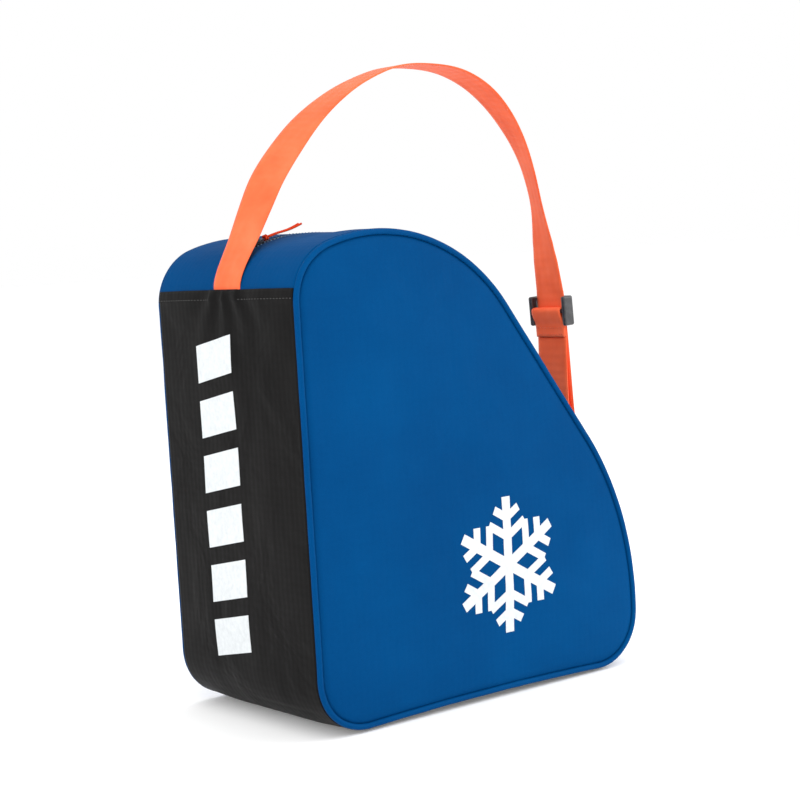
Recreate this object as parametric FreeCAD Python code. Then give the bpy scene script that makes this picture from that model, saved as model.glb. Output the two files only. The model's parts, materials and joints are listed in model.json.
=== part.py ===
"""Ski boot bag: a wedge-shaped soft bag with a shoulder strap, millimetres.

The origin is the centre of the base, on the floor. +X points to the toe, +Y to the
bag's left side and +Z up. Outlines are drawn in the X-Z plane from the heel line
(x = 0) and moved to the origin when they are written.
"""
import FreeCAD, Part

import math
import os

from FreeCAD import Vector

# ---- driving dimensions ---------------------------------------------------------------
LENGTH = 353.0            # heel to toe
WIDTH = 204.4             # over both pipings
HEIGHT = 400.0            # floor to crown

HEEL_BOTTOM_R = 48.0      # rounded corners of the side panel
HEEL_TOP_R = 50.0
CROWN_R = 164.0
TOE_R = 260.0
TOE_BOTTOM_R = 50.0
CROWN_CENTRE = (85.0, HEIGHT - CROWN_R)
SLOPE_ANGLE = 35.5        # outward normal of the sloped front, above the horizontal

FABRIC = 1.6              # coated fabric of the gusset and the base
SIDE_FABRIC = 1.8
PIPING_R = 2.6
CLEARANCE = 0.1           # between pieces that are sewn together
SLIT = 0.5                # half of the slit between the bag and its mouth

HEEL_PANEL_TOP = 357.6    # upper hem of the black heel panel
TOE_SEAM_Z = 150.0        # seam between the toe panel and the sloped front
MOUTH_BACK_X = 80.0       # the mouth opens between these two points of the crown
MOUTH_FRONT_X = 205.0

ZIP_OPENING = 7.0         # half width between the two gusset strips
TAPE_WIDTH = 15.0
TAPE = 0.9
COIL_WIDTH = 2.45
COIL_GAP = 0.65           # half of the gap between the two coils
COIL_HEIGHT = 1.6
SLIDER_REST = 107.0       # polar angle of the slider about the crown's centre, degrees
SLIDER_LENGTH = 11.0

BINDING_WIDTH = 10.0
BINDING = 1.0
FILM = 0.3                # heat-transfer print

WEBBING_WIDTH = 38.0
WEBBING = 1.6
ADJUSTER_BAR_R = 2.2
ADJUSTER_PITCH = 11.5     # centre bar to end bar
RAIL = 4.4                # side rails of the adjuster and the ring
RING_BAR_R = 2.0
HARDWARE_GAP = 0.3        # webbing to a bar that it goes round

CORD_D = 1.8
KNOT_R = 2.8
KNOT_LENGTH = 5.0
PULL_ANGLE = 17.5         # the pull's rise above the horizontal at rest

# ---- strap route in the middle plane (x, z) ---------------------------------------------
HEEL_END = [(2.9, 336), (2.9, 349), (4.3, 357), (3.1, 365), (7.6, 375), (15, 386.5), (25, 400.2)]
ARCH = [(30.5, 410), (43, 433), (60.5, 457.5), (83, 481.5), (112, 506.5), (148, 526.5), (186, 538.5),
        (222, 540.6), (256, 535.5), (285, 521.5), (308, 503), (327, 478), (340, 451), (349.5, 418),
        (355.5, 380), (360, 345)]
LEG_TOP = (361.5, 334.0)
LEG_DOWN = Vector(0.0465, 0, -0.9989)     # direction of the straight leg below the arch
ADJUSTER_Z = 316.0
RING_Z = 190.0
TAB_LENGTH = 24.0                         # sewn end, from the centre bar down
RING_FOOT = (357.0, 170.5)                # lower bar of the ring
TAB_ROOT = ((339.2, 147.6), (335.6, 153.8))

# ---- pull cord routes, right strand (y is mirrored for the left one) ------------------------
STRAND = [(48.61, 1.0, 398.90), (56.6, 1.15, 401.3), (65.0, 1.35, 402.8), (73.5, 1.7, 404.9),
          (81.6, 2.3, 408.2)]

LEFT = 1
RIGHT = -1
SIDES = {"left": LEFT, "right": RIGHT}
FAR = 900.0
EDGE_Y = WIDTH / 2 - 2 * PIPING_R - CLEARANCE      # outer edges of the gusset and the base
SIDE_Y = WIDTH / 2 - PIPING_R                      # middle of the side panel and the piping
SIDE_INSET = 2 * PIPING_R + CLEARANCE


# ---- helpers ----------------------------------------------------------------------------------
def polar(centre, radius, angle):
    """Point of the X-Z plane at an angle in degrees about a centre."""
    turn = math.radians(angle)
    return (centre[0] + radius * math.cos(turn), centre[1] + radius * math.sin(turn))


def flat(point, y=0.0):
    return Vector(point[0], y, point[1])


def arc_edge(centre, radius, start, end):
    points = [flat(polar(centre, radius, angle)) for angle in (start, (start + end) / 2, end)]
    return Part.Arc(*points).toShape()


def profile_arcs(inset):
    """The side outline's arcs, clockwise from the heel's foot: centre, radius, start, end."""
    normal = (math.cos(math.radians(SLOPE_ANGLE)), math.sin(math.radians(SLOPE_ANGLE)))
    reach = CROWN_CENTRE[0] * normal[0] + CROWN_CENTRE[1] * normal[1] + CROWN_R
    toe_x = LENGTH - TOE_R
    toe = (toe_x, (reach - TOE_R - toe_x * normal[0]) / normal[1])
    corner_gap = TOE_R - TOE_BOTTOM_R
    fall = math.asin((toe[1] - TOE_BOTTOM_R) / corner_gap)
    toe_corner = (toe[0] + corner_gap * math.cos(fall), TOE_BOTTOM_R)
    heel_gap = CROWN_R - HEEL_TOP_R
    heel_x = HEEL_TOP_R - CROWN_CENTRE[0]
    heel_top = (HEEL_TOP_R, CROWN_CENTRE[1] + math.sqrt(heel_gap ** 2 - heel_x ** 2))
    meet = 180 - math.degrees(math.acos(-heel_x / heel_gap))
    heel_bottom = (HEEL_BOTTOM_R, HEEL_BOTTOM_R)
    return [
        (heel_bottom, HEEL_BOTTOM_R - inset, 270, 180),
        (heel_top, HEEL_TOP_R - inset, 180, meet),
        (CROWN_CENTRE, CROWN_R - inset, meet, SLOPE_ANGLE),
        (toe, TOE_R - inset, SLOPE_ANGLE, -math.degrees(fall)),
        (toe_corner, TOE_BOTTOM_R - inset, -math.degrees(fall), -90),
    ]


def profile_wire(inset):
    """Closed outline of the bag's side, moved inward by inset."""
    arcs = profile_arcs(inset)
    edges = []
    for index, (centre, radius, start, end) in enumerate(arcs):
        edges.append(arc_edge(centre, radius, start, end))
        following = arcs[(index + 1) % len(arcs)]
        here = flat(polar(centre, radius, end))
        there = flat(polar(following[0], following[1], following[2]))
        if here.distanceToPoint(there) > 0.01:
            edges.append(Part.LineSegment(here, there).toShape())
    return Part.Wire(edges)


def extrude(wire, y_low, y_high):
    """Prism of a wire in the X-Z plane, between two widths."""
    solid = Part.Face(wire).extrude(Vector(0, y_high - y_low, 0))
    solid.translate(Vector(0, y_low, 0))
    return solid


def polygon(points):
    return Part.makePolygon([flat(point) for point in points] + [flat(points[0])])


def block(x_low, x_high, y_low, y_high, z_low, z_high):
    size = (x_high - x_low, y_high - y_low, z_high - z_low)
    return Part.makeBox(*size, Vector(x_low, y_low, z_low))


def band(inset, thickness, y_low, y_high):
    """Ring of fabric that follows the outline, inset from it by inset."""
    outer = extrude(profile_wire(inset), y_low, y_high)
    inner = extrude(profile_wire(inset + thickness), y_low - 1, y_high + 1)
    return outer.cut(inner)


def span(side, inner, outer):
    """Low and high y of a piece between two distances from the middle plane."""
    return (inner, outer) if side == LEFT else (-outer, -inner)


def crown_z(x):
    return CROWN_CENTRE[1] + math.sqrt(CROWN_R ** 2 - (x - CROWN_CENTRE[0]) ** 2)


MOUTH_BACK = (MOUTH_BACK_X, crown_z(MOUTH_BACK_X))
MOUTH_FRONT = (MOUTH_FRONT_X, crown_z(MOUTH_FRONT_X))


def above_mouth(lift):
    """Everything above the mouth's fold line, which is moved outward by lift."""
    along = (flat(MOUTH_FRONT) - flat(MOUTH_BACK)).normalize()
    out = Vector(-along.z, 0, along.x)
    low = flat(MOUTH_BACK) + out * lift - along * FAR
    high = low + along * 2 * FAR
    corners = [low, high, high + out * FAR, low + out * FAR]
    return extrude(Part.makePolygon(corners + [low]), -FAR, FAR)


def split_at_mouth(shape):
    """The still part and the part that opens with the mouth."""
    return shape.cut(above_mouth(-SLIT)), shape.common(above_mouth(SLIT))


def between(shape, *points):
    """The stretch of a band inside the fan that the points open about the bag's middle."""
    middle = (LENGTH / 2, HEIGHT * 0.45)
    fan = [middle]
    for point in points:
        away = (flat(point) - flat(middle)).normalize() * FAR
        fan.append((middle[0] + away.x, middle[1] + away.z))
    return shape.common(extrude(polygon(fan), -FAR, FAR))


def rounded_edges(points):
    """Straight runs joined by tangent arcs, each as large as its runs allow."""
    edges = []
    start = points[0]
    for before, corner, after in zip(points, points[1:], points[2:]):
        back = before - corner
        ahead = after - corner
        turn = math.pi - back.getAngle(ahead)
        reach = 0.45 * min(back.Length, ahead.Length)
        radius = reach / math.tan(turn / 2)
        back.normalize()
        ahead.normalize()
        first = corner + back * reach
        last = corner + ahead * reach
        inward = (back + ahead).normalize()
        top = corner + inward * (radius / math.cos(turn / 2) - radius)
        edges.append(Part.LineSegment(start, first).toShape())
        edges.append(Part.Arc(first, top, last).toShape())
        start = last
    edges.append(Part.LineSegment(start, points[-1]).toShape())
    return edges


def ribbon(edges, width=WEBBING_WIDTH, thickness=WEBBING):
    """Flat webbing of a given width along edges in the X-Z plane."""
    path = Part.Wire(edges)
    start = path.Edges[0].valueAt(path.Edges[0].FirstParameter)
    along = path.Edges[0].tangentAt(path.Edges[0].FirstParameter)
    across = Vector(0, width / 2, 0)
    normal = along.cross(Vector(0, 1, 0)).normalize() * (thickness / 2)
    corners = [start + across + normal, start + across - normal, start - across - normal,
               start - across + normal]
    section = Part.makePolygon(corners + [corners[0]])
    solid = path.makePipeShell([section], True, False)
    return solid


def tube(edges, diameter):
    """Round cord along edges."""
    path = Part.Wire(edges)
    first = path.Edges[0]
    start = first.valueAt(first.FirstParameter)
    along = first.tangentAt(first.FirstParameter)
    section = Part.Wire(Part.makeCircle(diameter / 2, start, along))
    return path.makePipeShell([section], True, False)


def rod(centre, radius, half_length):
    """Round bar across the bag."""
    return Part.makeCylinder(radius, 2 * half_length, flat(centre, -half_length), Vector(0, 1, 0))


def save(name, *shapes):
    """Write the solids of one node, moved from the heel line to the base's centre."""
    solids = [solid for shape in shapes for solid in shape.Solids]
    whole = solids[0] if len(solids) == 1 else Part.makeCompound(solids)
    whole.translate(Vector(-LENGTH / 2, 0, 0))
    whole.exportStep(f"parts/{name}.step")


# ---- fabric shell -------------------------------------------------------------------------------
def make_side_panels():
    """The two big side panels and, above the fold line, the rims of the mouth."""
    for name, side in SIDES.items():
        low, high = span(side, SIDE_Y - SIDE_FABRIC / 2, SIDE_Y + SIDE_FABRIC / 2)
        still, rim = split_at_mouth(extrude(profile_wire(SIDE_INSET), low, high))
        save(f"side_panel_{name}", still)
        save(f"side_rim_{name}", rim)


def make_pipings():
    """Piping that runs round each side panel."""
    for name, side in SIDES.items():
        path = profile_wire(PIPING_R)
        start = path.Edges[0].valueAt(path.Edges[0].FirstParameter)
        along = path.Edges[0].tangentAt(path.Edges[0].FirstParameter)
        section = Part.Wire(Part.makeCircle(PIPING_R, start, along))
        ring = path.makePipeShell([section], True, False)
        ring.translate(Vector(0, side * SIDE_Y, 0))
        still, rim = split_at_mouth(ring)
        save(f"piping_{name}", still)
        save(f"piping_rim_{name}", rim)


def make_heel_base_panel(hem, base_end):
    """One black piece: up the heel to its hem and along the base to the toe."""
    ring = band(0, FABRIC, -EDGE_Y, EDGE_Y)
    save("heel_base_panel", between(ring, base_end, (LENGTH / 2, 0), (0, 0), (0, 170), hem))


def make_toe_panel(base_end, seam):
    ring = band(0, FABRIC, -EDGE_Y, EDGE_Y)
    save("toe_panel", between(ring, seam, (LENGTH, 70), base_end))


def strap_slot():
    """Room above the heel panel's hem where the strap comes out of the seam."""
    half = WEBBING_WIDTH / 2 + 0.5
    return block(-10, 20, -half, half, HEEL_PANEL_TOP - 5, HEEL_PANEL_TOP + 8.5)


def upper_stretch(shape, hem, seam):
    """The part of a band between the heel panel's hem and the toe seam."""
    return between(shape, hem, (0, HEIGHT), (LENGTH / 2, HEIGHT), (LENGTH, HEIGHT), seam)


def make_gusset(hem, seam):
    """Blue strips on both sides of the zipper, from the heel panel to the toe seam."""
    for name, side in SIDES.items():
        strip = band(0, FABRIC, *span(side, ZIP_OPENING, EDGE_Y))
        strip = upper_stretch(strip, hem, seam).cut(strap_slot())
        still, lip = split_at_mouth(strip)
        save(f"gusset_strip_{name}", still)
        save(f"gusset_lip_{name}", lip)


def make_seam_bindings():
    """Tape that binds the raw seam inside each side panel."""
    outer = EDGE_Y - 0.2
    for name, side in SIDES.items():
        tape = band(FABRIC + 0.3, BINDING, *span(side, outer - BINDING_WIDTH, outer))
        still, rim = split_at_mouth(tape)
        save(f"seam_binding_{name}", still)
        save(f"seam_binding_rim_{name}", rim)


# ---- zipper -----------------------------------------------------------------------------------------
def make_zipper(hem, seam):
    """Tapes under the gusset strips, with one coil at the edge of each."""
    for name, side in SIDES.items():
        tape = band(FABRIC + 0.4, TAPE, *span(side, COIL_GAP, COIL_GAP + TAPE_WIDTH))
        coil = band(0.2, COIL_HEIGHT, *span(side, COIL_GAP, COIL_GAP + COIL_WIDTH))
        for kind, shape in (("tape", tape), ("coil", coil)):
            stretch = upper_stretch(shape, hem, seam).cut(strap_slot())
            still, lip = split_at_mouth(stretch)
            save(f"zipper_{kind}_{name}", still)
            save(f"zipper_{kind}_lip_{name}", lip)


def make_zipper_stops():
    """Metal clips that close both ends of the coils."""
    top = block(-4, 2, -3.6, 3.6, 0.2, 1.2)
    top.rotate(Vector(0, 0, 0), Vector(0, 1, 0), 90 - 124)
    centre = profile_arcs(0)[1][0]
    top.translate(flat(polar(centre, HEEL_TOP_R, 124)))
    save("zipper_stop_top", top)
    bottom = block(-3, 3, -3.6, 3.6, 0.2, 1.2)
    bottom.rotate(Vector(0, 0, 0), Vector(0, 1, 0), 90 - SLOPE_ANGLE)
    slope_end = polar(profile_arcs(0)[3][0], TOE_R, SLOPE_ANGLE)
    bottom.translate(flat(slope_end))
    save("zipper_stop_bottom", bottom)


def on_crown(shape):
    """Move a shape from the crown's top to the slider's rest place."""
    shape.rotate(flat(CROWN_CENTRE), Vector(0, 1, 0), 90 - SLIDER_REST)
    return shape


def local_block(x_low, x_high, y_low, y_high, z_low, z_high):
    """Block beside the crown's top point, with z counted outward from the surface."""
    return block(CROWN_CENTRE[0] + x_low, CROWN_CENTRE[0] + x_high, y_low, y_high, HEIGHT + z_low,
                 HEIGHT + z_high)


PIN_LIFT = 2.35           # axis of the pull above the surface
PIN_R = 0.6


def make_slider():
    """Top and bottom plates joined between the coils, with the bridge that holds the pull."""
    half = SLIDER_LENGTH / 2
    top = local_block(-half, half, -4.6, 4.6, 0.15, 1.5)
    top = top.makeChamfer(1.2, [edge for edge in top.Edges if abs(edge.tangentAt(0).z) > 0.9])
    slider = top.fuse(local_block(-half + 1.2, half - 1.2, 3.5, 4.6, -1.5, 0.15))
    slider = slider.fuse(local_block(-half + 1.2, half - 1.2, -4.6, -3.5, -1.5, 0.15))
    slider = slider.fuse(local_block(1.5, 4.5, -0.3, 0.3, -3.4, 0.15))
    slider = slider.fuse(local_block(-half + 0.5, half - 0.5, -4.2, 4.2, -4.4, -3.35))
    bridge = local_block(-3.2, 3.2, -1.1, 1.1, 1.5, 4.1)
    hole = local_block(-1.9, 1.9, -2, 2, 1.5, 3.25)
    slider = slider.fuse(bridge.cut(hole)).removeSplitter()
    save("zipper_slider", on_crown(slider))


def pull_frame(shape):
    """Move a shape drawn along +X from the pull's pin to its rest place."""
    pin = polar(CROWN_CENTRE, CROWN_R + PIN_LIFT, SLIDER_REST)
    shape.rotate(Vector(0, 0, 0), Vector(0, 1, 0), -PULL_ANGLE)
    shape.translate(flat(pin))
    return shape


def make_pull():
    """Metal shackle on the bridge, the knot behind it and the two cord ends."""
    shackle = rod((0, 0), PIN_R, 2.6)
    shackle = shackle.fuse(rod((6.4, 0), PIN_R, 2.6))
    for side in SIDES.values():
        low, high = span(side, 1.6, 2.6)
        shackle = shackle.fuse(block(0, 6.4, low, high, -PIN_R, PIN_R))
    save("slider_pull", pull_frame(shackle.removeSplitter()))
    knot = Part.makeCylinder(KNOT_R, KNOT_LENGTH, Vector(7.8, 0, 0), Vector(1, 0, 0))
    knot = knot.makeChamfer(0.5, [edge for edge in knot.Edges if edge.Length > 10])
    save("pull_knot", pull_frame(knot))
    for name, side in SIDES.items():
        route = [Vector(x, side * y, z) for x, y, z in STRAND]
        save(f"pull_cord_{name}", tube(rounded_edges(route), CORD_D))


# ---- strap ----------------------------------------------------------------------------------------------
def leg_point(z, offset=0.0):
    """Point of the strap's straight leg at a height, moved toe-ward by offset."""
    down = (LEG_TOP[1] - z) / -LEG_DOWN.z
    point = flat(LEG_TOP) + LEG_DOWN * down
    return point + toeward() * offset


def toeward():
    return Vector(-LEG_DOWN.z, 0, LEG_DOWN.x)


def half_turn(centre, radius, start):
    """Half circle about a centre that begins at start and dips below it."""
    away = start - centre
    low = centre + Vector(away.z, 0, -away.x)
    return Part.Arc(start, low, centre - away).toShape()


RING_TURN = RING_BAR_R + HARDWARE_GAP + WEBBING / 2
BAR_TURN = 1.8 + HARDWARE_GAP + WEBBING / 2
CENTRE_BAR = -(WEBBING / 2 + 0.4 + BAR_TURN + WEBBING / 2)     # behind the leg's middle line


def make_strap():
    """Heel end, arch with its leg and loop, return leg and sewn end."""
    save("strap_heel_end", ribbon(rounded_edges([flat(point) for point in HEEL_END])))
    arch = [flat(point) for point in ARCH] + [flat(LEG_TOP), leg_point(RING_Z)]
    edges = rounded_edges(arch)
    loop_centre = leg_point(RING_Z, -RING_TURN)
    edges.append(half_turn(loop_centre, RING_TURN, leg_point(RING_Z)))
    save("strap_webbing", ribbon(edges))

    inner_layer = CENTRE_BAR + BAR_TURN
    foot = leg_point(RING_Z, -2 * RING_TURN) - LEG_DOWN * 0.3
    head = leg_point(ADJUSTER_Z, inner_layer) + LEG_DOWN * (TAB_LENGTH + 0.3)
    save("strap_return_leg", ribbon([Part.LineSegment(foot, head).toShape()]))

    bar = leg_point(ADJUSTER_Z, CENTRE_BAR)
    inner = bar + toeward() * BAR_TURN
    outer = bar - toeward() * BAR_TURN
    turn = Part.Arc(inner, bar - LEG_DOWN * BAR_TURN, outer).toShape()
    up = Part.LineSegment(inner + LEG_DOWN * TAB_LENGTH, inner).toShape()
    tail = Part.LineSegment(outer, outer + LEG_DOWN * TAB_LENGTH).toShape()
    save("strap_end_tab", ribbon([up, turn, tail]))


def rails(points, depth, height_margin):
    """Side rails of a piece of hardware along the line through two bars."""
    first, last = points
    along = (last - first).normalize()
    normal = Vector(-along.z, 0, along.x) * (depth / 2)
    first = first - along * height_margin
    last = last + along * height_margin
    outline = [first + normal, last + normal, last - normal, first - normal]
    inner = WEBBING_WIDTH / 2 + 0.8
    shapes = []
    for side in SIDES.values():
        low, high = span(side, inner, inner + RAIL)
        shapes.append(extrude(Part.makePolygon(outline + [outline[0]]), low, high))
    return shapes


def make_adjuster():
    """Slider of the strap: two end bars toe-ward of the webbing and a centre bar behind it."""
    half = WEBBING_WIDTH / 2 + 1.5
    centre = leg_point(ADJUSTER_Z)
    end_bar = WEBBING / 2 + 0.4 + ADJUSTER_BAR_R
    frame = rod_at(leg_point(ADJUSTER_Z, CENTRE_BAR), 1.8, half)
    for step in (-1, 1):
        bar = centre + toeward() * end_bar + LEG_DOWN * (step * ADJUSTER_PITCH)
        frame = frame.fuse(rod_at(bar, ADJUSTER_BAR_R, half))
    depth = end_bar - CENTRE_BAR + 1.8 + ADJUSTER_BAR_R
    middle = centre + toeward() * ((end_bar + ADJUSTER_BAR_R + CENTRE_BAR - 1.8) / 2)
    ends = (middle - LEG_DOWN * ADJUSTER_PITCH, middle + LEG_DOWN * ADJUSTER_PITCH)
    for rail in rails(ends, depth, ADJUSTER_BAR_R):
        rail = rail.makeFillet(2.0, rail.Edges)
        frame = frame.fuse(rail)
    save("strap_adjuster", frame.removeSplitter())


def rod_at(point, radius, half_length):
    return rod((point.x, point.z), radius, half_length)


def make_anchor():
    """Rectangular ring at the foot of the strap and the tab that holds it in the toe seam."""
    half = WEBBING_WIDTH / 2 + 1.5
    head = leg_point(RING_Z, -RING_TURN)
    foot = flat(RING_FOOT)
    ring = rod_at(head, RING_BAR_R, half).fuse(rod_at(foot, RING_BAR_R, half))
    for rail in rails((head, foot), 2 * RING_BAR_R, RING_BAR_R):
        ring = ring.fuse(rail.makeFillet(1.2, rail.Edges))
    save("anchor_ring", ring.removeSplitter())

    low, high = (flat(point) for point in TAB_ROOT)
    along = ((low + high) * 0.5 - foot).normalize()
    side = Vector(-along.z, 0, along.x) * RING_TURN
    edges = [Part.LineSegment(high, foot - side).toShape(),
             Part.Arc(foot - side, foot - along * RING_TURN, foot + side).toShape(),
             Part.LineSegment(foot + side, low).toShape()]
    save("anchor_tab", ribbon(edges))


# ---- printed graphics -----------------------------------------------------------------------------------
FLAKE_CENTRE = (200.0, 112.0)
FLAKE_R = 58.0
FLAKE_BAR = 9.0


def flake_arm():
    """One arm of the snow crystal along +X with its two pairs of branches."""
    half = FLAKE_BAR / 2
    arm = block(0, FLAKE_R, 0, FILM, -half, half)
    for root, length in ((24.0, 24.0), (40.0, 16.0)):
        for turn in (-60, 60):
            branch = block(0, length, 0, FILM, -half * 0.8, half * 0.8)
            branch.rotate(Vector(0, 0, 0), Vector(0, 1, 0), turn)
            branch.translate(Vector(root, 0, 0))
            arm = arm.fuse(branch)
    return arm


def make_side_prints():
    """A plain six-armed snow crystal on each side panel."""
    for name, side in SIDES.items():
        flake = flake_arm()
        for step in range(1, 6):
            arm = flake_arm()
            arm.rotate(Vector(0, 0, 0), Vector(0, 1, 0), step * 60)
            flake = flake.fuse(arm)
        flake = flake.removeSplitter()
        flake.rotate(Vector(0, 0, 0), Vector(0, 1, 0), 30)
        face = SIDE_Y + SIDE_FABRIC / 2 + CLEARANCE
        flake.translate(flat(FLAKE_CENTRE, span(side, face, face + FILM)[0]))
        save(f"side_print_{name}", flake)


BAR_COUNT = 6
BAR_TOP = 322.0
BAR_PITCH = 46.0
BAR_HEIGHT = 31.0
BAR_MIDDLE_Y = 16.0
BAR_HALF_WIDTH = 26.0
BAR_SLANT = 10.0


def make_heel_print():
    """A column of slanted bars on the heel panel."""
    bars = []
    for step in range(BAR_COUNT):
        top = BAR_TOP - step * BAR_PITCH
        low_y = BAR_MIDDLE_Y - BAR_HALF_WIDTH
        high_y = BAR_MIDDLE_Y + BAR_HALF_WIDTH
        corners = [(low_y, top), (high_y, top - BAR_SLANT), (high_y, top - BAR_SLANT - BAR_HEIGHT),
                   (low_y, top - BAR_HEIGHT)]
        outline = [Vector(-CLEARANCE - FILM, y, z) for y, z in corners]
        bars.append(Part.Face(Part.makePolygon(outline + [outline[0]])).extrude(Vector(FILM, 0, 0)))
    save("heel_print", *bars)


# ---- build ------------------------------------------------------------------------------------------------
os.makedirs("parts", exist_ok=True)

arcs = profile_arcs(0)
heel_turn = 180 - math.degrees(math.asin((HEEL_PANEL_TOP - arcs[1][0][1]) / HEEL_TOP_R))
hem_below = polar(arcs[1][0], HEEL_TOP_R, heel_turn + 0.1)
hem_above = polar(arcs[1][0], HEEL_TOP_R, heel_turn - 0.1)
seam_turn = math.degrees(math.asin((TOE_SEAM_Z - arcs[3][0][1]) / TOE_R))
seam_below = polar(arcs[3][0], TOE_R, seam_turn - 0.02)
seam_above = polar(arcs[3][0], TOE_R, seam_turn + 0.02)
base_turn = -70.0
base_before = polar(arcs[4][0], TOE_BOTTOM_R, base_turn - 0.1)
base_after = polar(arcs[4][0], TOE_BOTTOM_R, base_turn + 0.1)

make_side_panels()
make_pipings()
make_heel_base_panel(hem_below, base_before)
make_toe_panel(base_after, seam_below)
make_gusset(hem_above, seam_above)
make_seam_bindings()
make_zipper(hem_above, seam_above)
make_zipper_stops()
make_slider()
make_pull()
make_strap()
make_adjuster()
make_anchor()
make_side_prints()
make_heel_print()
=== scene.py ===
import json
import math

import bmesh
import bpy
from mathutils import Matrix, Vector, noise


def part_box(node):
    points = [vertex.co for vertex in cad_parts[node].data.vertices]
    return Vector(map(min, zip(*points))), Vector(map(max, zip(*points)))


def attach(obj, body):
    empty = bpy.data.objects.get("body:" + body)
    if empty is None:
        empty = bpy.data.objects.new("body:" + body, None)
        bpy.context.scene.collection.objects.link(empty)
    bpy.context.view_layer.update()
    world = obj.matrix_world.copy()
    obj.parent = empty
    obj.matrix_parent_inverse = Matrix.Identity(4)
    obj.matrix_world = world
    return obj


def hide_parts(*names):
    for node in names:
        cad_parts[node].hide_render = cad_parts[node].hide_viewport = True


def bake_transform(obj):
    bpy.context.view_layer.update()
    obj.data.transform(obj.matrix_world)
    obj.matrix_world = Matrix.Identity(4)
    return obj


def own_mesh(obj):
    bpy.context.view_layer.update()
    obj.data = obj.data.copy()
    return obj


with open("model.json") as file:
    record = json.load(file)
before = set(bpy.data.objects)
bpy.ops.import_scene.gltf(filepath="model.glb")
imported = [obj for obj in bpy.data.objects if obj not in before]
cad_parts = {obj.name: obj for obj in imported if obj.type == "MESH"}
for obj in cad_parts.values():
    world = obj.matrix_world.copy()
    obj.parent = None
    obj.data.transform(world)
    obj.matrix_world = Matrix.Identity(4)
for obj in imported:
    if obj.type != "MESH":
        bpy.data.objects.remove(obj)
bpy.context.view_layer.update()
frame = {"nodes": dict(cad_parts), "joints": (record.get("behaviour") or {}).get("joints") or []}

MM = 0.001
SIDES = {"left": 1, "right": -1}

# ---- the frame's own measures --------------------------------------------------------------------
PIPING_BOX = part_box("piping_left")
HEEL_X = PIPING_BOX[0].x
LENGTH = PIPING_BOX[1].x - HEEL_X
HALF_WIDTH = PIPING_BOX[1].y
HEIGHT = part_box("piping_rim_left")[1].z
PIPING_R = (PIPING_BOX[1].y - PIPING_BOX[0].y) / 2
SIDE_Y = HALF_WIDTH - PIPING_R
EDGE_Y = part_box("heel_base_panel")[1].y
HEM_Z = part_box("heel_base_panel")[1].z
TOE_SEAM_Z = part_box("toe_panel")[1].z
BASE_END_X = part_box("heel_base_panel")[1].x
ZIP_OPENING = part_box("gusset_strip_left")[0].y
WEBBING_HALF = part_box("strap_webbing")[1].y
JOINTS = {joint["name"]: joint for joint in frame["joints"]}


def heel(x, z, y=0.0):
    """Point given in millimetres from the heel line and the floor."""
    return Vector((HEEL_X + x * MM, y * MM, z * MM))


# ---- camera, lights and stage --------------------------------------------------------------------
def make_camera():
    data = bpy.data.cameras.new("camera")
    data.sensor_width = 36
    data.lens = 83.3
    camera = bpy.data.objects.new("camera", data)
    bpy.context.scene.collection.objects.link(camera)
    yaw, pitch, roll = (math.radians(angle) for angle in (38.18, 4.83, -3.42))
    forward = Vector((math.sin(yaw), math.cos(yaw), 0))
    right = Vector((math.cos(yaw), -math.sin(yaw), 0))
    up = Vector((0, 0, 1))
    look = forward * math.cos(pitch) - up * math.sin(pitch)
    tilt = up * math.cos(pitch) + forward * math.sin(pitch)
    side = right * math.cos(roll) + tilt * math.sin(roll)
    top = tilt * math.cos(roll) - right * math.sin(roll)
    matrix = camera.matrix_world.to_3x3()
    for axis, direction in enumerate((side, top, -look)):
        for row in range(3):
            matrix[row][axis] = direction[row]
    camera.matrix_world = matrix.to_4x4()
    camera.location = Vector((HEEL_X - 0.8192, -1.1641 - HALF_WIDTH, 0.3869))
    bpy.context.scene.camera = camera


def make_light(name, place, target, size, power):
    data = bpy.data.lights.new(name, "AREA")
    data.size = size
    data.energy = power
    light = bpy.data.objects.new(name, data)
    light.location = place
    light.rotation_euler = (Vector(target) - Vector(place)).to_track_quat("-Z", "Y").to_euler()
    bpy.context.scene.collection.objects.link(light)


def make_stage():
    bpy.context.scene.view_settings.view_transform = "Standard"
    world = bpy.data.worlds.new("studio")
    bpy.context.scene.world = world
    world.use_nodes = True
    world.node_tree.nodes["Background"].inputs["Color"].default_value = (1, 1, 1, 1)
    world.node_tree.nodes["Background"].inputs["Strength"].default_value = 1.0
    make_light("key", (-1.3, -1.7, 2.0), (0, 0, 0.25), 1.6, 13)
    make_light("fill", (1.9, -1.5, 1.3), (0, 0, 0.3), 1.8, 36)
    make_light("side", (-2.2, -0.5, 0.9), (0.1, 0, 0.35), 1.2, 14)
    make_light("top", (0.2, 0.2, 2.4), (0, 0, 0.3), 2.0, 14)
    mesh = bpy.data.meshes.new("floor")
    mesh.from_pydata([(-30, -30, 0), (30, -30, 0), (30, 30, 0), (-30, 30, 0)], [], [(0, 1, 2, 3)])
    floor = bpy.data.objects.new("floor", mesh)
    bpy.context.scene.collection.objects.link(floor)
    material = bpy.data.materials.new("floor_paper")
    material.use_nodes = True
    shader = material.node_tree.nodes["Principled BSDF"]
    shader.inputs["Base Color"].default_value = (0.94, 0.94, 0.94, 1)
    shader.inputs["Roughness"].default_value = 0.9
    shader.inputs["Emission Color"].default_value = (1, 1, 1, 1)
    shader.inputs["Emission Strength"].default_value = 0.12
    mesh.materials.append(material)


# ---- materials -----------------------------------------------------------------------------------
def node(tree, kind, **inputs):
    made = tree.nodes.new(kind)
    for name, value in inputs.items():
        made.inputs[name.replace("_", " ")].default_value = value
    return made


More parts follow.
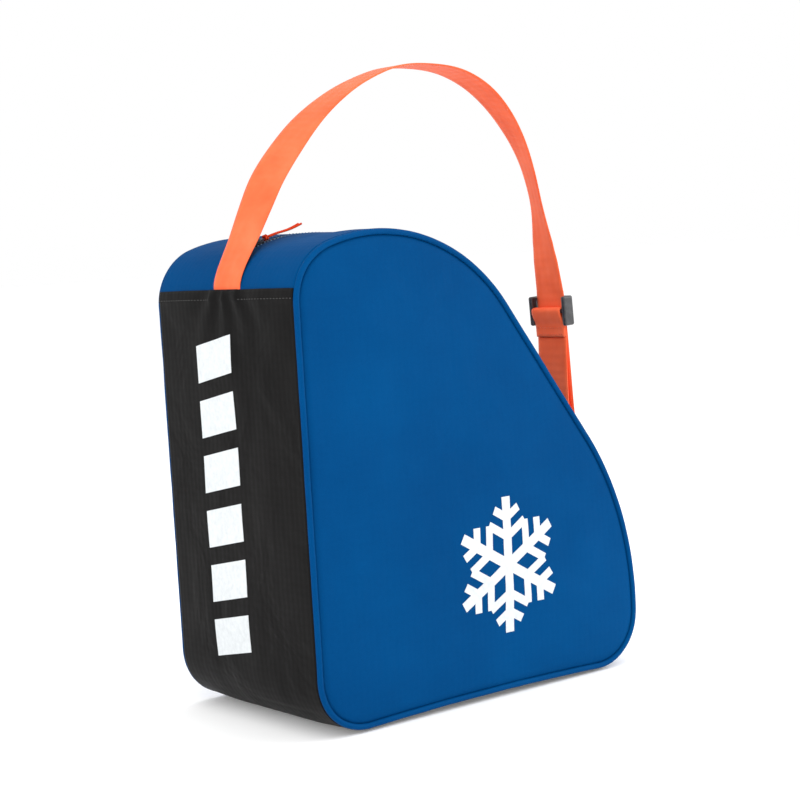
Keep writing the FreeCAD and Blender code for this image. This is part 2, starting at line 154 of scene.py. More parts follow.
def ramp(tree, source, stops):
    made = tree.nodes.new("ShaderNodeValToRGB")
    elements = made.color_ramp.elements
    while len(elements) < len(stops):
        elements.new(0.5)
    for element, (place, color) in zip(elements, stops):
        element.position = place
        element.color = (*color, 1)
    tree.links.new(source, made.inputs["Fac"])
    return made.outputs["Color"]


def start_material(name, roughness, specular=0.4, sheen=0.0, sheen_roughness=0.4):
    material = bpy.data.materials.new(name)
    material.use_nodes = True
    tree = material.node_tree
    shader = tree.nodes["Principled BSDF"]
    shader.inputs["Roughness"].default_value = roughness
    shader.inputs["Specular IOR Level"].default_value = specular
    shader.inputs["Sheen Weight"].default_value = sheen
    shader.inputs["Sheen Roughness"].default_value = sheen_roughness
    return material, tree, shader


def join_bumps(tree, shader, heights):
    """Chain of bumps: source socket, strength, distance in metres."""
    normal = None
    for source, strength, distance in heights:
        bump = node(tree, "ShaderNodeBump", Strength=strength, Distance=distance)
        tree.links.new(source, bump.inputs["Height"])
        if normal:
            tree.links.new(normal, bump.inputs["Normal"])
        normal = bump.outputs["Normal"]
    tree.links.new(normal, shader.inputs["Normal"])


def add(tree, first, second):
    made = tree.nodes.new("ShaderNodeMath")
    made.operation = "ADD"
    tree.links.new(first, made.inputs[0])
    tree.links.new(second, made.inputs[1])
    return made.outputs[0]


def weave(tree, coordinates, threads_per_metre, directions=("X", "Z")):
    """Height of a plain weave from two crossed sets of threads."""
    heights = []
    for direction in directions:
        wave = node(tree, "ShaderNodeTexWave", Scale=threads_per_metre / 20, Distortion=1.2,
                    Detail=2.0, Detail_Scale=2.0)
        wave.bands_direction = direction
        tree.links.new(coordinates, wave.inputs["Vector"])
        heights.append(wave.outputs["Fac"])
    return add(tree, *heights)


def cloth_material(name, dark, mid, light, roughness, directions=("X", "Z"), threads=1000, sheen=0.0,
                   crease=0.5, specular=0.02):
    """Coated polyester: cloudy tone, fine weave and soft creases."""
    material, tree, shader = start_material(name, roughness, specular, sheen)
    coordinates = tree.nodes.new("ShaderNodeTexCoord").outputs["Object"]
    cloud = node(tree, "ShaderNodeTexNoise", Scale=7.0, Detail=4.0, Roughness=0.55)
    tree.links.new(coordinates, cloud.inputs["Vector"])
    fleck = node(tree, "ShaderNodeTexNoise", Scale=900.0, Detail=2.0)
    tree.links.new(coordinates, fleck.inputs["Vector"])
    tone = tree.nodes.new("ShaderNodeMix")
    tone.data_type = "FLOAT"
    tone.inputs[0].default_value = 0.3
    tree.links.new(cloud.outputs["Fac"], tone.inputs[2])
    tree.links.new(fleck.outputs["Fac"], tone.inputs[3])
    color = ramp(tree, tone.outputs[0], [(0.3, dark), (0.5, mid), (0.72, light)])
    tree.links.new(color, shader.inputs["Base Color"])
    fold = node(tree, "ShaderNodeTexNoise", Scale=16.0, Detail=3.0, Roughness=0.5, Distortion=0.6)
    tree.links.new(coordinates, fold.inputs["Vector"])
    threads_height = weave(tree, coordinates, threads, directions)
    join_bumps(tree, shader, [(fold.outputs["Fac"], crease, 0.004), (threads_height, 0.35, 0.00016)])
    return material


def webbing_material(name, dark, mid, light):
    """Ribbed polypropylene webbing; UV runs in metres along and across it."""
    material, tree, shader = start_material(name, 0.55, 0.08, 0.06, 0.35)
    uv = tree.nodes.new("ShaderNodeUVMap")
    uv.uv_map = "along"
    rib = node(tree, "ShaderNodeTexWave", Scale=42.0, Distortion=0.6, Detail=1.0)
    rib.bands_direction = "X"
    cord = node(tree, "ShaderNodeTexWave", Scale=30.0, Distortion=0.8, Detail=1.0)
    cord.bands_direction = "Y"
    cloud = node(tree, "ShaderNodeTexNoise", Scale=24.0, Detail=5.0, Roughness=0.6)
    for texture in (rib, cord, cloud):
        tree.links.new(uv.outputs["UV"], texture.inputs["Vector"])
    color = ramp(tree, cloud.outputs["Fac"], [(0.3, dark), (0.5, mid), (0.72, light)])
    tree.links.new(color, shader.inputs["Base Color"])
    join_bumps(tree, shader, [(add(tree, rib.outputs["Fac"], cord.outputs["Fac"]), 0.5, 0.0003)])
    return material


def hard_material(name, dark, light, roughness, metallic=0.0, scale=260.0, bump=0.25):
    """Moulded or painted surface with a fine grain and rubbed tone."""
    material, tree, shader = start_material(name, roughness, 0.5)
    shader.inputs["Metallic"].default_value = metallic
    coordinates = tree.nodes.new("ShaderNodeTexCoord").outputs["Object"]
    grain = node(tree, "ShaderNodeTexNoise", Scale=scale, Detail=6.0, Roughness=0.6)
    tree.links.new(coordinates, grain.inputs["Vector"])
    color = ramp(tree, grain.outputs["Fac"], [(0.35, dark), (0.7, light)])
    tree.links.new(color, shader.inputs["Base Color"])
    join_bumps(tree, shader, [(grain.outputs["Fac"], bump, 0.0002)])
    return material


MATERIALS = {
    "blue_fabric": cloth_material("blue_cloth", (0.0, 0.042, 0.148), (0.0, 0.051, 0.172), (0.0, 0.061, 0.198),
                                  0.62),
    "blue_band": cloth_material("blue_gusset_cloth", (0.0, 0.04, 0.14), (0.0, 0.048, 0.163),
                                (0.0, 0.058, 0.188), 0.62, ("X", "Y")),
    "black_fabric": cloth_material("black_cloth", (0.0035, 0.0033, 0.0033), (0.0058, 0.0054, 0.0054),
                                   (0.01, 0.0093, 0.0093), 0.5, ("Y", "Z"), crease=0.8, specular=0.06),
    "blue_piping": cloth_material("piping_cloth", (0.0, 0.042, 0.15), (0.0, 0.052, 0.176),
                                  (0.0, 0.064, 0.205), 0.5, crease=0.2),
    "binding_tape": cloth_material("binding_cloth", (0.008, 0.008, 0.009), (0.015, 0.015, 0.016),
                                   (0.03, 0.03, 0.032), 0.8, ("X", "Y")),
    "zipper_tape": cloth_material("zip_tape_cloth", (0.002, 0.02, 0.06), (0.003, 0.03, 0.085),
                                  (0.005, 0.04, 0.11), 0.7, ("X", "Y")),
    "zipper_coil": hard_material("coil_nylon", (0.002, 0.02, 0.06), (0.01, 0.05, 0.13), 0.4),
    "dark_metal": hard_material("enamelled_metal", (0.01, 0.012, 0.02), (0.05, 0.055, 0.07), 0.3, 0.6),
    "orange_cord": cloth_material("cord_braid", (0.5, 0.03, 0.008), (0.75, 0.07, 0.02),
                                  (0.9, 0.16, 0.07), 0.6, ("X", "Y"), threads=2600),
    "orange_webbing": webbing_material("orange_webbing", (0.88, 0.118, 0.04), (0.95, 0.146, 0.053),
                                       (1.0, 0.178, 0.072)),
    "black_plastic": hard_material("moulded_acetal", (0.018, 0.018, 0.02), (0.05, 0.05, 0.054), 0.38),
    "white_print": hard_material("print_film", (0.57, 0.6, 0.615), (0.67, 0.7, 0.715), 0.45, bump=0.4),
    "pale_thread": hard_material("pale_thread", (0.05, 0.16, 0.3), (0.16, 0.3, 0.45), 0.6),
    "blue_thread": hard_material("blue_thread", (0.0, 0.03, 0.11), (0.0, 0.05, 0.17), 0.6),
    "black_thread": hard_material("black_thread", (0.01, 0.01, 0.01), (0.05, 0.048, 0.046), 0.6),
    "orange_thread": hard_material("orange_thread", (0.7, 0.08, 0.02), (0.95, 0.18, 0.07), 0.6),
}


# ---- mesh helpers --------------------------------------------------------------------------------
def make_object(name, points, faces, material, smooth=True):
    mesh = bpy.data.meshes.new(name)
    mesh.from_pydata([tuple(point) for point in points], [], faces)
    mesh.update()
    made = bpy.data.objects.new(name, mesh)
    bpy.context.scene.collection.objects.link(made)
    finish_object(made, material, smooth)
    return made


def finish_object(made, material, smooth=True):
    made.data.materials.clear()
    made.data.materials.append(MATERIALS[material])
    for face in made.data.polygons:
        face.use_smooth = smooth


def grid_faces(rows, columns, closed_rows=False, closed_columns=False):
    faces = []
    for row in range(rows if closed_rows else rows - 1):
        below = (row + 1) % rows
        for column in range(columns if closed_columns else columns - 1):
            beside = (column + 1) % columns
            faces.append((row * columns + column, row * columns + beside, below * columns + beside,
                          below * columns + column))
    return faces


def shell(name, rows, thickness, material):
    """Closed cloth from a grid of (point, outward normal) rows."""
    columns = len(rows[0])
    outer = [point for row in rows for point, normal in row]
    inner = [point - normal * thickness for row in rows for point, normal in row]
    count = len(outer)
    faces = grid_faces(len(rows), columns)
    inner_faces = [tuple(count + index for index in reversed(face)) for face in faces]
    rim = [column for column in range(columns)]
    rim += [row * columns + columns - 1 for row in range(1, len(rows))]
    rim += [(len(rows) - 1) * columns + column for column in reversed(range(columns - 1))]
    rim += [row * columns for row in reversed(range(1, len(rows) - 1))]
    edge_faces = [(rim[i], rim[(i + 1) % len(rim)], count + rim[(i + 1) % len(rim)], count + rim[i])
                  for i in range(len(rim))]
    made = make_object(name, outer + inner, faces + inner_faces + edge_faces, material)
    fix_normals(made)
    return made


def fix_normals(made):
    work = bmesh.new()
    work.from_mesh(made.data)
    bmesh.ops.recalc_face_normals(work, faces=work.faces)
    work.to_mesh(made.data)
    work.free()


def tube(name, points, radius, material, around=10, closed=False):
    """Round cord along points; radius is a number or one number for each point."""
    count = len(points)
    rings = []
    for index, point in enumerate(points):
        ahead = points[(index + 1) % count] if closed or index + 1 < count else point
        back = points[index - 1] if closed or index else point
        along = (ahead - back).normalized()
        side = along.cross(Vector((0, 1, 0)))
        side = side.normalized() if side.length > 0.2 else along.cross(Vector((0, 0, 1))).normalized()
        other = along.cross(side)
        size = radius[index] if isinstance(radius, list) else radius
        for step in range(around):
            turn = 2 * math.pi * step / around
            rings.append(point + side * (size * math.cos(turn)) + other * (size * math.sin(turn)))
    faces = grid_faces(count, around, closed, True)
    if not closed:
        faces.append(tuple(range(around)))
        faces.append(tuple((count - 1) * around + step for step in reversed(range(around))))
    made = make_object(name, rings, faces, material)
    fix_normals(made)
    return made


def dashes(name, line, material, length=2.6 * MM, gap=1.4 * MM, radius=0.35 * MM):
    """Row of stitches along (point, normal) pairs that lie about a millimetre apart."""
    points, faces = [], []
    travelled, last_start = 0.0, -1.0
    for index in range(1, len(line)):
        step = line[index][0] - line[index - 1][0]
        travelled += step.length
        if travelled - last_start < length + gap or step.length < 1e-7:
            continue
        last_start = travelled
        along = step.normalized()
        centre, normal = line[index]
        side = along.cross(normal).normalized()
        base = len(points)
        for place, size, rise in ((-0.5, 0.3, -0.4), (-0.25, 1.0, 0.4), (0.25, 1.0, 0.4), (0.5, 0.3, -0.4)):
            middle = centre + along * (length * place) + normal * (radius * rise)
            for turn in (0, 60, 120, 180, 240, 300):
                angle = math.radians(turn)
                points.append(middle + side * (radius * size * math.cos(angle))
                              + normal * (radius * size * math.sin(angle)))
        for ring in range(3):
            for corner in range(6):
                beside = (corner + 1) % 6
                first = base + ring * 6
                faces.append((first + corner, first + beside, first + 6 + beside, first + 6 + corner))
        faces.append(tuple(base + corner for corner in reversed(range(6))))
        faces.append(tuple(base + 18 + corner for corner in range(6)))
    made = make_object(name, points, faces, material)
    fix_normals(made)
    return made


def smooth_step(value):
    value = max(0.0, min(1.0, value))
    return value * value * (3 - 2 * value)


# ---- the bag's side outline ----------------------------------------------------------------------
class Outline:
    """Arcs and straight lines round the side panel, measured in metres from the heel's foot."""

    def __init__(self):
        slope = math.radians(35.5)
        heel_bottom_r, heel_top_r, crown_r, toe_r, toe_bottom_r = 0.048, 0.05, 0.164, 0.26, 0.05
        crown = (HEEL_X + 0.085, HEIGHT - crown_r)
        normal = (math.cos(slope), math.sin(slope))
        toe_x = HEEL_X + LENGTH - toe_r
        reach = crown[0] * normal[0] + crown[1] * normal[1] + crown_r
        toe = (toe_x, (reach - toe_r - toe_x * normal[0]) / normal[1])
        fall = math.asin((toe[1] - toe_bottom_r) / (toe_r - toe_bottom_r))
        toe_corner = (toe[0] + (toe_r - toe_bottom_r) * math.cos(fall), toe_bottom_r)
        heel_gap = crown_r - heel_top_r
        heel_x = HEEL_X + heel_top_r - crown[0]
        heel_top = (HEEL_X + heel_top_r, crown[1] + math.sqrt(heel_gap ** 2 - heel_x ** 2))
        meet = math.pi - math.acos(-heel_x / heel_gap)
        heel_bottom = (HEEL_X + heel_bottom_r, heel_bottom_r)
        self.crown = crown
        self.arcs = [
            (heel_bottom, heel_bottom_r, 1.5 * math.pi, math.pi),
            (heel_top, heel_top_r, math.pi, meet),
            (crown, crown_r, meet, slope),
            (toe, toe_r, slope, -fall),
            (toe_corner, toe_bottom_r, -fall, -0.5 * math.pi),
        ]
        self.pieces = []
        start = 0.0
        for index, (centre, radius, first, last) in enumerate(self.arcs):
            self.pieces.append((start, "arc", index))
            start += radius * (first - last)
            here = self.on_arc(index, last)[0]
            following = (index + 1) % len(self.arcs)
            there = self.on_arc(following, self.arcs[following][2])[0]
            if (there - here).length > 1e-5:
                self.pieces.append((start, "line", index))
                start += (there - here).length
        self.total = start

    def on_arc(self, index, angle):
        centre, radius, first, last = self.arcs[index]
        normal = Vector((math.cos(angle), 0, math.sin(angle)))
        return Vector((centre[0], 0, centre[1])) + normal * radius, normal

    def at(self, distance):
        """Point of the outline and its outward normal."""
        distance %= self.total
        start, kind, index = [piece for piece in self.pieces if piece[0] <= distance][-1]
        radius, first, last = self.arcs[index][1:]
        if kind == "arc":
            return self.on_arc(index, first - (distance - start) / radius)
        point, normal = self.on_arc(index, last)
        along = Vector((normal.z, 0, -normal.x))
        return point + along * (distance - start), normal

    def at_angle(self, index, angle):
        """Distance along the outline of an arc's point."""
        start = [piece[0] for piece in self.pieces if piece[1:] == ("arc", index)][0]
        return start + self.arcs[index][1] * (self.arcs[index][2] - angle)

    def depth(self, x, z):
        """How far a point of the side lies inside the outline."""
        nearest = 1.0
        for start, kind, index in self.pieces:
            centre, radius, first, last = self.arcs[index]
            if kind == "arc":
                angle = math.atan2(z - centre[1], x - centre[0])
                angle += 2 * math.pi if first > math.pi + 0.01 and angle < 0 else 0
                if last - 0.01 <= angle <= first + 0.01:
                    nearest = min(nearest, radius - math.hypot(x - centre[0], z - centre[1]))
            else:
                point, normal = self.on_arc(index, last)
                nearest = min(nearest, (point.x - x) * normal.x + (point.z - z) * normal.z)
        return max(nearest, 0.0)


OUTLINE = Outline()
HEEL_TOP = OUTLINE.arcs[1]
HEM_AT = OUTLINE.at_angle(1, math.pi - math.asin((HEM_Z - HEEL_TOP[0][1]) / HEEL_TOP[1]))
SEAM_AT = OUTLINE.at_angle(3, math.asin((TOE_SEAM_Z - OUTLINE.arcs[3][0][1]) / OUTLINE.arcs[3][1]))
BASE_AT = OUTLINE.at_angle(4, -math.acos((BASE_END_X - OUTLINE.arcs[4][0][0]) / OUTLINE.arcs[4][1]))


# ---- how the empty bag sags ----------------------------------------------------------------------
def base_lift(point):
    """The pipings bow up a little between the base's corners, and the base hangs below them."""
    share = (point.x - HEEL_X) / LENGTH
    bow = math.sin(math.pi * max(0.0, min(1.0, share))) ** 0.8
    beside = smooth_step((abs(point.y) - 0.55 * EDGE_Y) / (0.45 * EDGE_Y))
    return 5.0 * MM * bow * beside * math.exp(-(point.z / (26 * MM)) ** 2)


def ripple(a, b, seed, size):
    return noise.noise(Vector((a / size, b / size, seed)))


def side_bulge(x, z, side):
    """How far the side panel stands out of its seam's plane."""
    depth = OUTLINE.depth(x, z)
    dome = 5.2 * MM * (1 - math.exp(-depth / (70 * MM)))
    tuck = -1.4 * MM * math.exp(-(max(0.0, depth - 5 * MM) / (2.6 * MM)) ** 2)
    inside = 1 - math.exp(-max(0.0, depth - 5 * MM) / (22 * MM))
    slack = 2.3 * MM * ripple(x, z, 3.0 + side, 95 * MM) + 0.9 * MM * ripple(x, z * 1.8, 9.0 + side, 42 * MM)
    return dome + tuck + inside * slack


def band_bulge(distance, y):
    """How far the gusset, heel and base stand out of the outline."""
    across = 1 - (y / EDGE_Y) ** 2
    point = OUTLINE.at(distance)[0]
    on_heel = smooth_step((point.z - 30 * MM) / (60 * MM))
    on_heel *= smooth_step((HEEL_X + 30 * MM - point.x) / (25 * MM))
    slack = 1.5 * MM * ripple(distance, y, 5.0, 70 * MM)
    slack += 0.7 * MM * ripple(distance * 0.6, y * 2, 7.0, 40 * MM)
    lift = across ** 0.7 * slack if abs(y) < EDGE_Y else 0.0
    if HEM_AT < distance < SEAM_AT:
        zip_calm = smooth_step((abs(y) - 8 * MM) / (20 * MM))
        lift = lift * zip_calm - 0.3 * MM * (1 - zip_calm)
    lift += on_heel * 1.6 * MM * across
    if point.z < 20 * MM:
        lift = min(lift, 0.0) * 0.4 - 0.1 * MM
    below_hem = (HEM_AT - distance) / MM
    if 0 < below_hem < 90:
        fan = math.atan2(y / MM + 5, below_hem + 26)
        fade = math.exp(-below_hem / 34) * smooth_step(below_hem / 9) * math.exp(-(y / (46 * MM)) ** 2)
        lift += 1.5 * MM * fade * math.sin(13 * fan + 0.8)
    if distance > HEM_AT:
        calm = smooth_step((distance - HEM_AT) / (120 * MM))
        near_zip = math.exp(-((abs(y) - 12 * MM) / (16 * MM)) ** 2)
        lift = lift * (0.25 + 0.75 * calm) * (1 - 0.8 * near_zip)
    return lift


def on_band(distance, y, lift=0.0):
    """Point of the gusset, heel or base and its outward normal."""
    point, normal = OUTLINE.at(distance)
    place = point + normal * (lift + band_bulge(distance, y))
    place.y = y
    place.z += base_lift(place)
    return place, normal


def on_side(x, z, side, lift=0.0):
    place = Vector((x, side * (SIDE_Y + 0.9 * MM + side_bulge(x, z, side) + lift), z))
    place.z += base_lift(place)
    return place


def spaced(first, last, step):
    count = max(2, round(abs(last - first) / step) + 1)
    return [first + (last - first) * index / (count - 1) for index in range(count)]


def fold_with_mouth(piece):
    """Bakes the piece's placement into its mesh."""
    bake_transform(piece)


# ---- cloth shell ---------------------------------------------------------------------------------
def make_side_panel(name, side):
    """One domed panel from rings that shrink from its seam to its middle."""
    seam = 5.0 * MM
    middle = Vector((HEEL_X + 0.44 * LENGTH, 0, 0.42 * HEIGHT))
    steps = 260
    rings = 46
    points = []
    for ring in range(rings):
        share = 1 - (ring / rings) ** 1.15
        for step in range(steps):
            edge, normal = OUTLINE.at(OUTLINE.total * step / steps)
            edge = edge - normal * seam
            place = middle + (edge - middle) * share
            points.append(on_side(place.x, place.z, side))
    points.append(on_side(middle.x, middle.z, side))
    outer = len(points)
    faces = grid_faces(rings, steps, False, True)
    last = (rings - 1) * steps
    faces += [(last + step, last + (step + 1) % steps, outer - 1) for step in range(steps)]
    inner = [point - Vector((0, side * 1.4 * MM, 0)) for point in points]
    inner_faces = [tuple(outer + index for index in reversed(face)) for face in faces]
    rim = [(step, (step + 1) % steps, outer + (step + 1) % steps, outer + step) for step in range(steps)]
    panel = make_object(f"side_cloth_{name}", points + inner, faces + inner_faces + rim, "blue_fabric")
    fix_normals(panel)
    fold_with_mouth(panel)
    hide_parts(f"side_panel_{name}", f"side_rim_{name}")


def make_piping(name, side):
    """Covered cord round the side panel, with the small lap where its ends meet underneath."""
    lap = OUTLINE.at_angle(4, -0.5 * math.pi) + 95 * MM
    points, sizes = [], []
    for distance in spaced(0, OUTLINE.total, 2.2 * MM)[:-1]:
        edge, normal = OUTLINE.at(distance)
        wobble = 0.25 * MM * ripple(distance, side * 0.1, 12.0, 28 * MM)
        place = edge - normal * (PIPING_R + wobble)
        place.y = side * (SIDE_Y - abs(wobble))
        place.z += base_lift(place)
        points.append(place)
        near_lap = math.exp(-((distance - lap) / (5 * MM)) ** 2)
        unevenness = 0.035 * ripple(distance, 1.0, 4.0, 9 * MM)
        sizes.append((PIPING_R - 0.12 * MM) * (1 + unevenness + 0.1 * near_lap))
    piping = tube(f"piping_cord_{name}", points, sizes, "blue_piping", 14, True)
    fold_with_mouth(piping)
    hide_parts(f"piping_{name}", f"piping_rim_{name}")


def band_rows(first, last, y_first, y_last, depth=0.0, step=3 * MM):
    columns = spaced(y_first, y_last, 3 * MM)
    return [[on_band(distance, y, -depth) for y in columns] for distance in spaced(first, last, step)]


def make_heel_base_cloth():
    """Black cloth from its hem down the heel, under the bag and up to the toe panel."""
    length = OUTLINE.total - BASE_AT + HEM_AT
    hem_depth = 9 * MM
    columns = spaced(-EDGE_Y - 1.5 * MM, EDGE_Y + 1.5 * MM, 2.6 * MM)
    rows = []
    for travel in spaced(0, length, 2.6 * MM):
        distance = HEM_AT - travel
        fold = 0.75 * MM * (1 - smooth_step((travel - hem_depth) / (1.6 * MM)))
        strap = math.exp(-(travel / (13 * MM)) ** 2)
        row = []
        for y in columns:
            over = smooth_step((WEBBING_HALF + 4 * MM - abs(y + 3 * MM)) / (6 * MM))
            row.append(on_band(distance, y, fold + 1.3 * MM * strap * over))
        rows.append(row)
    cloth = shell("heel_base_cloth", rows, 1.2 * MM, "black_fabric")
    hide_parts("heel_base_panel")
    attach(cloth, "root")
    line = [on_band(HEM_AT - hem_depth + 1.2 * MM, y, 0.75 * MM) for y in spaced(-EDGE_Y, EDGE_Y, 0.7 * MM)]
    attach(dashes("heel_hem_stitches", line, "black_thread"), "root")


def make_toe_cloth():
    rows = band_rows(SEAM_AT + 0.3 * MM, BASE_AT + 4 * MM, -EDGE_Y - 1.5 * MM, EDGE_Y + 1.5 * MM)
    cloth = shell("toe_cloth", rows, 1.2 * MM, "blue_band")
    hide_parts("toe_panel")
    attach(cloth, "root")
    for name, distance in (("toe_seam_stitches", SEAM_AT + 5 * MM), ("toe_base_stitches", BASE_AT - 5 * MM)):
        line = [on_band(distance, y, 0.15 * MM) for y in spaced(-EDGE_Y, EDGE_Y, 0.7 * MM)]
        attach(dashes(name, line, "blue_thread"), "root")


def make_gusset(name, side):
    """Blue strip beside the zip, turned under along its inner edge, with a row of topstitching."""
    inner = ZIP_OPENING - 1.2 * MM
    columns = [inner] + spaced(inner + 1.2 * MM, EDGE_Y + 1.5 * MM, 3 * MM)
    rows = []
    for distance in spaced(HEM_AT - 9 * MM, SEAM_AT, 2.6 * MM):
        tucked = -0.9 * MM * (1 - smooth_step((distance - HEM_AT + 6 * MM) / (6 * MM)))
        row = []
        for y in columns:
            turn = -0.9 * MM * (1 - smooth_step((y - inner) / (2.4 * MM)))
            lap = 0.35 * MM * (1 - smooth_step((y - inner - 7 * MM) / (2 * MM)))
            row.append(on_band(distance, side * y, tucked + turn + lap))
        rows.append(row)
    strip = shell(f"gusset_cloth_{name}", rows, 1.1 * MM, "blue_band")
    fold_with_mouth(strip)
    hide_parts(f"gusset_strip_{name}", f"gusset_lip_{name}")
    line = [on_band(distance, side * (inner + 3.2 * MM), 0.35 * MM)
            for distance in spaced(HEM_AT + 1 * MM, SEAM_AT, 0.7 * MM)]
    stitches = dashes(f"zip_stitches_{name}", line, "pale_thread", 1.7 * MM, 1.3 * MM, 0.3 * MM)
    fold_with_mouth(stitches)


TOOTH_PITCH = 1.5 * MM
TOOTH = ((3.2, -1.3), (2.9, -0.5), (1.4, -0.2), (-0.5, -0.35), (-0.85, -0.9), (-0.4, -1.4), (1.6, -1.55))


def make_zipper_half(name, side):
    """Woven tape and its row of coil teeth, which mesh with the other half."""
    rows = [[on_band(distance, side * y, -1.9 * MM) for y in spaced(0.2 * MM, 15.4 * MM, 1.5 * MM)]
            for distance in spaced(HEM_AT + 2 * MM, SEAM_AT - 2 * MM, 2.6 * MM)]
    tape = shell(f"zip_tape_{name}", rows, 0.7 * MM, "zipper_tape")
    fold_with_mouth(tape)
    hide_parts(f"zipper_tape_{name}", f"zipper_tape_lip_{name}")
    points, faces = [], []
    first = HEM_AT + 8 * MM + (0 if side > 0 else TOOTH_PITCH / 2)
    for index in range(int((SEAM_AT - 5 * MM - first) / TOOTH_PITCH)):
        distance = first + index * TOOTH_PITCH
        base = len(points)
        for across, lift in TOOTH:
            for shift, rise in ((-0.42, 0), (0, 0.3), (0.42, 0), (0, -0.3)):
                place, normal = on_band(distance + shift * MM, side * across * MM, (lift + rise) * MM)
                points.append(place)
        faces += [tuple(base + index for index in face) for face in grid_faces(len(TOOTH), 4, True, True)]
    coil = make_object(f"zip_coil_{name}", points, faces, "zipper_coil")
    fix_normals(coil)
    fold_with_mouth(coil)
    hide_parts(f"zipper_coil_{name}", f"zipper_coil_lip_{name}")


def make_binding(name, side):
    """Bias tape folded over the raw seam inside the bag."""
    rows = []
    for distance in spaced(0, OUTLINE.total - 1 * MM, 4 * MM):
        row = []
        for across in spaced(0, 10 * MM, 1.2 * MM):
            y = side * (EDGE_Y - 0.6 * MM - across)
            swell = 0.5 * MM * math.sin(math.pi * across / (10 * MM))
            place, normal = on_band(distance, y, -2.4 * MM - swell)
            row.append((place, normal))
        rows.append(row)
    tape = shell(f"seam_tape_{name}", rows, 0.9 * MM, "binding_tape")
    fold_with_mouth(tape)
    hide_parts(f"seam_binding_{name}", f"seam_binding_rim_{name}")


# ---- prints --------------------------------------------------------------------------------------
def film_from(node_name, new_name, place_vertex):
    """Thin printed film cut to a CAD node's outline and laid on the sagging cloth."""
    made = bpy.data.objects.new(new_name, frame["nodes"][node_name].data.copy())
    bpy.context.scene.collection.objects.link(made)
    work = bmesh.new()
    work.from_mesh(made.data)
    bmesh.ops.triangulate(work, faces=work.faces)
    for _ in range(5):
        long_edges = [edge for edge in work.edges if edge.calc_length() > 4 * MM]
        if not long_edges:
            break
        bmesh.ops.subdivide_edges(work, edges=long_edges, cuts=1)
        bmesh.ops.triangulate(work, faces=work.faces)
    for vertex in work.verts:
        vertex.co = place_vertex(vertex.co.copy())
    work.to_mesh(made.data)
    work.free()
    finish_object(made, "white_print", False)
    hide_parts(node_name)
    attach(made, "root")


HEEL_FOOT_Z = 48 * MM    # where the heel starts to run straight up


def make_prints():
    for name, side in SIDES.items():
        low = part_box(f"side_print_{name}")
        near_face = min(abs(low[0].y), abs(low[1].y))
        film_from(f"side_print_{name}", f"side_film_{name}",
                  lambda co: on_side(co.x, co.z, side, abs(co.y) - near_face + 0.05 * MM))
    heel_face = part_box("heel_print")[1].x
    start = OUTLINE.at_angle(0, math.pi)
    film_from("heel_print", "heel_film",
              lambda co: on_band(start + co.z - HEEL_FOOT_Z, co.y, heel_face - co.x + 0.05 * MM)[0])


# ---- strap ---------------------------------------------------------------------------------------
def through(points, step):
    """Even points of a smooth curve through given points."""
    fine = []
    padded_points = [points[0] * 2 - points[1]] + points + [points[-1] * 2 - points[-2]]
    for index in range(len(points) - 1):
        before, first, second, after = padded_points[index:index + 4]
        spans = [max((b - a).length, 1e-9) ** 0.5 for a, b in
                 ((before, first), (first, second), (second, after))]
        knots = [0.0, spans[0], spans[0] + spans[1], sum(spans)]
        for part in range(12):
            at = knots[1] + (knots[2] - knots[1]) * part / 12
            lower = [a * ((knots[i + 1] - at) / (knots[i + 1] - knots[i])) +
                     b * ((at - knots[i]) / (knots[i + 1] - knots[i]))
                     for i, (a, b) in enumerate(((before, first), (first, second), (second, after)))]
            upper = [lower[i] * ((knots[i + 2] - at) / (knots[i + 2] - knots[i])) +
                     lower[i + 1] * ((at - knots[i]) / (knots[i + 2] - knots[i])) for i in (0, 1)]
            fine.append(upper[0] * ((knots[2] - at) / spans[1]) + upper[1] * ((at - knots[1]) / spans[1]))
    fine.append(points[-1])
    even, travelled = [fine[0]], 0.0
    for first, second in zip(fine, fine[1:]):
        travelled += (second - first).length
        if travelled >= step:
            even.append(second)
            travelled = 0.0
    even.append(fine[-1])
    return even


def webbing(name, route, shape=None, half=WEBBING_HALF, thickness=1.5 * MM):
    """Flat webbing along a route; shape(share) gives its sideways shift and twist."""
    columns = 13
    points, faces, along_uv = [], [], []
    travelled = 0.0
    count = len(route)
    for index, point in enumerate(route):
        ahead = route[min(index + 1, count - 1)]
        back = route[max(index - 1, 0)]
        travelled += (point - route[index - 1]).length if index else 0.0
        along = (ahead - back).normalized()
        shift, twist = shape(index / (count - 1)) if shape else (0.0, 0.0)
        flat_normal = along.cross(Vector((0, 1, 0))).normalized()
        across = Vector((0, 1, 0)) * math.cos(twist) + flat_normal * math.sin(twist)
        normal = along.cross(across).normalized()
        centre = point + Vector((0, shift, 0))
        for layer in (1, -1):
            for column in range(columns):
                share = 2 * column / (columns - 1) - 1
                edge = 1 - 0.55 * max(0.0, abs(share) - 0.86) / 0.14
                place = centre + across * (half * share)
                place += normal * (layer * thickness / 2 * edge)
                points.append(place)
                along_uv.append((travelled, half * share))
    ring = list(range(columns)) + [2 * columns - 1 - column for column in range(columns)]
    size = 2 * columns
    for row in range(count - 1):
        for step in range(size):
            a, b = ring[step], ring[(step + 1) % size]
            faces.append((row * size + a, row * size + b, (row + 1) * size + b, (row + 1) * size + a))
    faces.append(tuple(ring))
    faces.append(tuple((count - 1) * size + index for index in reversed(ring)))
    made = make_object(name, points, faces, "orange_webbing")
    fix_normals(made)
    layer = made.data.uv_layers.new(name="along")
    for loop in made.data.loops:
        layer.data[loop.index].uv = along_uv[loop.vertex_index]
    return made


